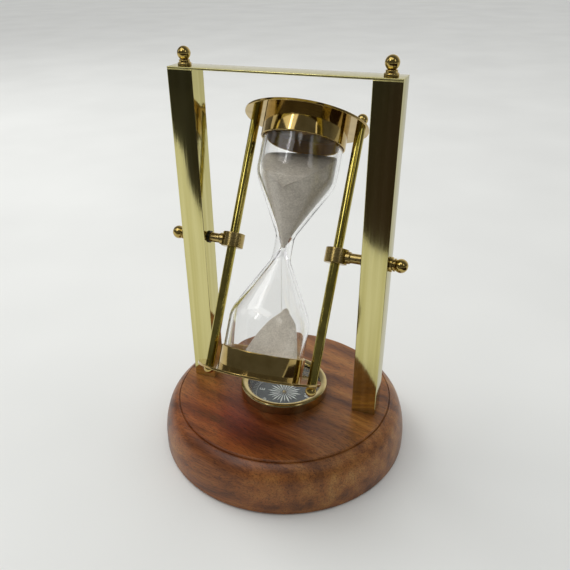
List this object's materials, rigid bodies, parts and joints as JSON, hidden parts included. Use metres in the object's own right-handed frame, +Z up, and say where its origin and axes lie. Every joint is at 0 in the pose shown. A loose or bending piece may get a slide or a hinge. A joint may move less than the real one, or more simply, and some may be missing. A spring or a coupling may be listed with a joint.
{
  "type": "swinging sand timer",
  "caption": "Brass hourglass swung on pivots between two square posts and a top bar, on a round turned wooden base with an inset compass.",
  "frame": {"origin": "centre of the wooden base's underside, on the surface that it stands on", "axes": "+Z up, X along the top bar and the pivots, -Y the front that the lower end of the glass leans towards"},
  "size_m": [0.1372, 0.1372, 0.2072],
  "materials": {
    "sheesham_wood": "satin",
    "post_brass": "brushed",
    "turned_brass": "polished",
    "spun_brass": "polished",
    "rod_brass": "polished",
    "bezel_brass": "polished",
    "screw_steel": "satin",
    "needle_steel": "polished",
    "washer_steel": "satin",
    "magnet_iron": "satin",
    "printed_card": "matt",
    "crystal_glass": "clear",
    "blown_glass": "clear",
    "cork": "matt",
    "felt": "matt",
    "sand": "matt"
  },
  "bodies": {
    "stand": {"base": "sheesham_wood", "left_post": "post_brass", "right_post": "post_brass", "post_screws": "screw_steel", "top_bar": "post_brass", "left_top_finial": "turned_brass", "right_top_finial": "turned_brass", "compass_case": "spun_brass", "compass_bezel": "bezel_brass", "compass_crystal": "crystal_glass", "compass_needle_post": "needle_steel"},
    "compass_card": {"compass_card": "printed_card", "compass_card_cap": "turned_brass", "compass_magnet": "magnet_iron"},
    "carriage": {"upper_plate": "spun_brass", "lower_plate": "spun_brass", "upper_cup": "spun_brass", "lower_cup": "spun_brass", "left_rod": "rod_brass", "right_rod": "rod_brass", "left_collar": "turned_brass", "right_collar": "turned_brass", "left_pivot_pin": "screw_steel", "right_pivot_pin": "screw_steel", "left_spacer": "turned_brass", "right_spacer": "turned_brass", "left_washer": "washer_steel", "right_washer": "washer_steel", "left_pivot_knob": "turned_brass", "right_pivot_knob": "turned_brass", "upper_left_rod_knob": "turned_brass", "upper_right_rod_knob": "turned_brass", "lower_left_rod_knob": "turned_brass", "lower_right_rod_knob": "turned_brass", "glass_vessel": "blown_glass", "glass_stopper": "cork", "upper_pad": "felt", "lower_pad": "felt", "upper_sand": "sand", "lower_sand": "sand", "sand_stream": "sand"}
  },
  "joints": [
    {"name": "carriage_spin", "type": "hinge", "parent": "stand", "child": "carriage", "pos_m": [0, 0, 0.1154], "axis": [1, 0, 0], "continuous": true},
    {"name": "compass_card_spin", "type": "hinge", "parent": "stand", "child": "compass_card", "pos_m": [0, 0, 0.028], "axis": [0, 0, 1], "continuous": true}
  ]
}
